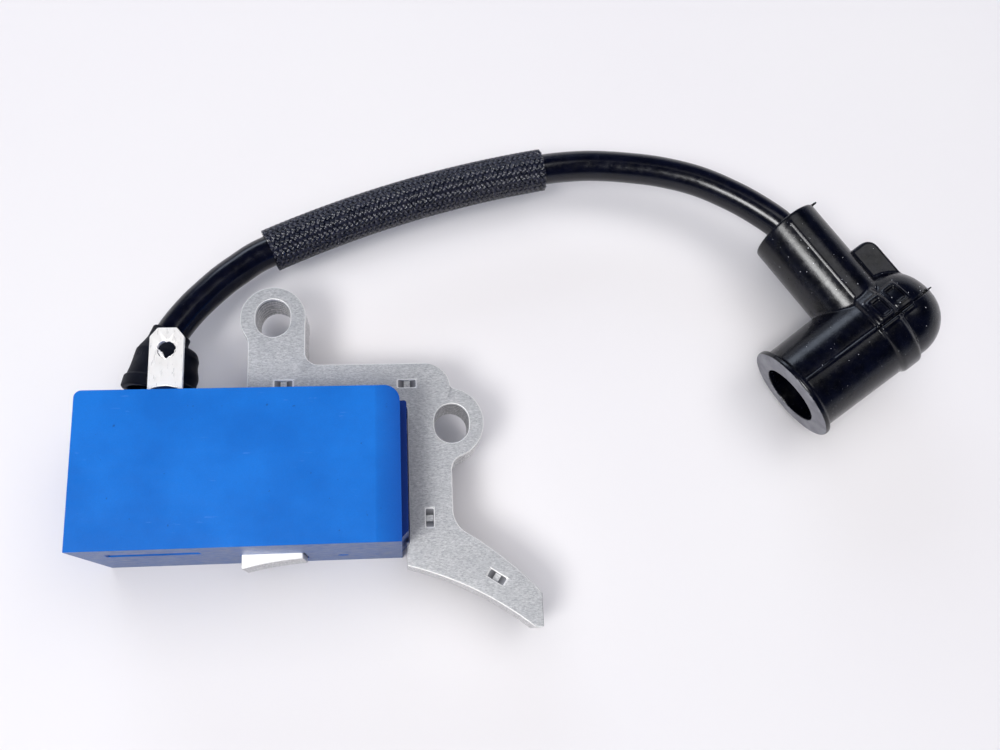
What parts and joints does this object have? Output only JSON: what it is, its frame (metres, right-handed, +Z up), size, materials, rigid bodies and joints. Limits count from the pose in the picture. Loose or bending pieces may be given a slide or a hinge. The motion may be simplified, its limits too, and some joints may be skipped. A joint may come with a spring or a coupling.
{
  "type": "ignition coil",
  "caption": "Potted ignition module on a U-shaped laminated core with two slotted ears, a stop terminal, and a sleeved high tension lead to an angled spark plug boot.",
  "frame": {"origin": "middle of the footprint of the coil and its core, without the lead and boot, on the ground that the open potted side of the case lies on", "axes": "+Z up out of the ground through the case's closed top, +X along the case from the lead tower's side towards the pole shoe, +Y from the flywheel side towards the mounting ears, the stop terminal and the lead"},
  "size_m": [0.1306, 0.0775, 0.0232],
  "materials": {
    "blue_case": "moulded, fine grain, satin",
    "potting": "cast epoxy, satin",
    "core_steel": "electrical steel, matte oxide, bright cut edges",
    "tinned": "tinned, bright",
    "bobbin": "moulded",
    "copper_wire": "enamelled copper wire",
    "board": "glass-fibre board",
    "capacitor": "dipped",
    "component": "moulded package",
    "resistor": "lacquered",
    "brass_pin": "turned",
    "black_rubber": "moulded, semi-gloss",
    "lead_jacket": "extruded, semi-gloss",
    "braid": "braided monofilament",
    "spring_wire": "bright spring wire"
  },
  "bodies": {
    "coil": {"case_shell": "blue_case", "potting_resin": "potting", "lamination_1": "core_steel", "lamination_2": "core_steel", "lamination_3": "core_steel", "lamination_4": "core_steel", "lamination_5": "core_steel", "lamination_6": "core_steel", "lamination_7": "core_steel", "ground_strap": "tinned", "coil_bobbin": "bobbin", "charge_winding": "copper_wire", "trigger_winding": "copper_wire", "primary_winding": "copper_wire", "secondary_bobbin": "bobbin", "secondary_winding": "copper_wire", "circuit_board": "board", "charge_capacitor": "capacitor", "thyristor": "component", "diodes": "component", "resistors": "resistor", "ht_pin": "brass_pin", "ht_link": "tinned", "stop_tab": "tinned", "lead_gland": "black_rubber", "ht_lead": "lead_jacket", "plug_boot": "black_rubber", "boot_spring": "spring_wire", "lead_spike": "tinned"},
    "sleeve": {"braided_sleeve": "braid"}
  },
  "joints": [
    {"name": "sleeve_slide", "type": "hinge", "parent": "coil", "child": "sleeve", "pos_m": [0.06885, -0.12905, 0.0086], "axis": [0, 0, 1], "range_deg": [-1.3, 1.3]}
  ]
}
